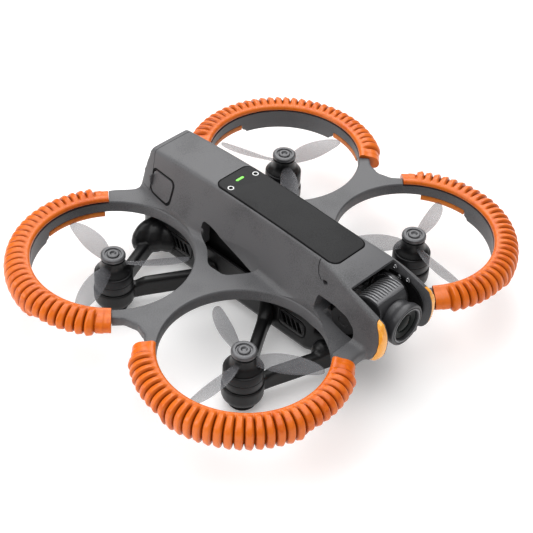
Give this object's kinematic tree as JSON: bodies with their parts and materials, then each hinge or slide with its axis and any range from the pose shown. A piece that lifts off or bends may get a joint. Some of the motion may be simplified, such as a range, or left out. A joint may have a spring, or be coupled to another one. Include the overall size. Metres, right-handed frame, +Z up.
{
  "type": "ducted racing drone",
  "caption": "Compact ducted racing drone with a ribbed bumper round each rotor, a long spine with a slide-in battery, and a tilting camera between two nose cheeks.",
  "frame": {"origin": "on the ground, under the middle of the four motors", "axes": "+Z up, the nose points along -Y, the drone's left is +X"},
  "size_m": [0.2264, 0.1964, 0.0639],
  "materials": {
    "shell_grey_abs": "fine moulded grain, mid grey",
    "panel_black": "satin moulded, near black",
    "chassis_black_nylon": "fine moulded grain, black",
    "bumper_orange_rubber": "soft matt, ribbed",
    "lamp_amber": "translucent, polished",
    "ring_white": "printed white, smooth",
    "light_green": "translucent, smooth",
    "motor_anodised": "black anodised, turned",
    "winding_copper": "enamelled copper wire",
    "prop_polycarbonate": "smoky, lightly polished",
    "foot_rubber": "matt",
    "camera_grey": "satin dark grey coat",
    "lens_dark_glass": "coated, dark",
    "board_laminate": "green laminate",
    "cooler_aluminium": "bead blasted",
    "pack_shell": "fine moulded grain, dark grey"
  },
  "bodies": {
    "airframe": {"upper_frame": "shell_grey_abs", "top_panel": "panel_black", "status_light": "light_green", "panel_ring_left": "ring_white", "nose_lamp_left": "lamp_amber", "side_vent_front_left": "chassis_black_nylon", "side_vent_rear_left": "chassis_black_nylon", "panel_ring_right": "ring_white", "nose_lamp_right": "lamp_amber", "side_vent_front_right": "chassis_black_nylon", "side_vent_rear_right": "chassis_black_nylon", "lower_chassis": "chassis_black_nylon", "belly_hatch": "pack_shell", "belly_lens": "lens_dark_glass", "main_board": "board_laminate", "board_cooler": "cooler_aluminium", "battery_tray": "chassis_black_nylon", "bumper_front_left": "bumper_orange_rubber", "motor_arm_front_left": "chassis_black_nylon", "landing_foot_front_left": "foot_rubber", "stator_front_left": "winding_copper", "bumper_front_right": "bumper_orange_rubber", "motor_arm_front_right": "chassis_black_nylon", "landing_foot_front_right": "foot_rubber", "stator_front_right": "winding_copper", "bumper_rear_left": "bumper_orange_rubber", "motor_arm_rear_left": "chassis_black_nylon", "landing_foot_rear_left": "foot_rubber", "stator_rear_left": "winding_copper", "bumper_rear_right": "bumper_orange_rubber", "motor_arm_rear_right": "chassis_black_nylon", "landing_foot_rear_right": "foot_rubber", "stator_rear_right": "winding_copper", "gimbal_mount": "chassis_black_nylon", "tilt_motor": "motor_anodised"},
    "rotor_front_left": {"motor_bell_front_left": "motor_anodised", "propeller_front_left": "prop_polycarbonate", "hub_cap_front_left": "motor_anodised"},
    "rotor_front_right": {"motor_bell_front_right": "motor_anodised", "propeller_front_right": "prop_polycarbonate", "hub_cap_front_right": "motor_anodised"},
    "rotor_rear_left": {"motor_bell_rear_left": "motor_anodised", "propeller_rear_left": "prop_polycarbonate", "hub_cap_rear_left": "motor_anodised"},
    "rotor_rear_right": {"motor_bell_rear_right": "motor_anodised", "propeller_rear_right": "prop_polycarbonate", "hub_cap_rear_right": "motor_anodised"},
    "camera": {"camera_housing": "camera_grey", "camera_cooler": "cooler_aluminium", "lens_barrel": "camera_grey", "lens_glass": "lens_dark_glass"},
    "battery": {"battery_pack": "pack_shell", "battery_cap": "shell_grey_abs", "level_lights": "light_green"},
    "clip_left": {"battery_clip_left": "panel_black"},
    "clip_right": {"battery_clip_right": "panel_black"},
    "button": {"power_button": "panel_black"}
  },
  "joints": [
    {"name": "spin_front_left", "type": "hinge", "parent": "airframe", "child": "rotor_front_left", "pos_m": [0.0605, -0.0455, 0.0239], "axis": [0, 0, 1], "continuous": true},
    {"name": "spin_front_right", "type": "hinge", "parent": "airframe", "child": "rotor_front_right", "pos_m": [-0.0605, -0.0455, 0.0239], "axis": [0, 0, 1], "continuous": true},
    {"name": "spin_rear_left", "type": "hinge", "parent": "airframe", "child": "rotor_rear_left", "pos_m": [0.0605, 0.0455, 0.0239], "axis": [0, 0, 1], "continuous": true},
    {"name": "spin_rear_right", "type": "hinge", "parent": "airframe", "child": "rotor_rear_right", "pos_m": [-0.0605, 0.0455, 0.0239], "axis": [0, 0, 1], "continuous": true},
    {"name": "camera_tilt", "type": "hinge", "parent": "airframe", "child": "camera", "pos_m": [0, -0.071, 0.043], "axis": [1, 0, 0], "range_deg": [-60, 90]},
    {"name": "battery_slide", "type": "slide", "parent": "airframe", "child": "battery", "axis": [0, 1, 0], "range_m": [0, 0.105]},
    {"name": "clip_press_left", "type": "slide", "parent": "battery", "child": "clip_left", "axis": [-1, 0, 0], "range_m": [0, 0.001], "stiffness_N_per_m": 900},
    {"name": "clip_press_right", "type": "slide", "parent": "battery", "child": "clip_right", "axis": [1, 0, 0], "range_m": [0, 0.001], "stiffness_N_per_m": 900},
    {"name": "button_press", "type": "slide", "parent": "battery", "child": "button", "axis": [0, -0.9632, -0.2689], "range_m": [0, 0.0006], "stiffness_N_per_m": 900}
  ]
}
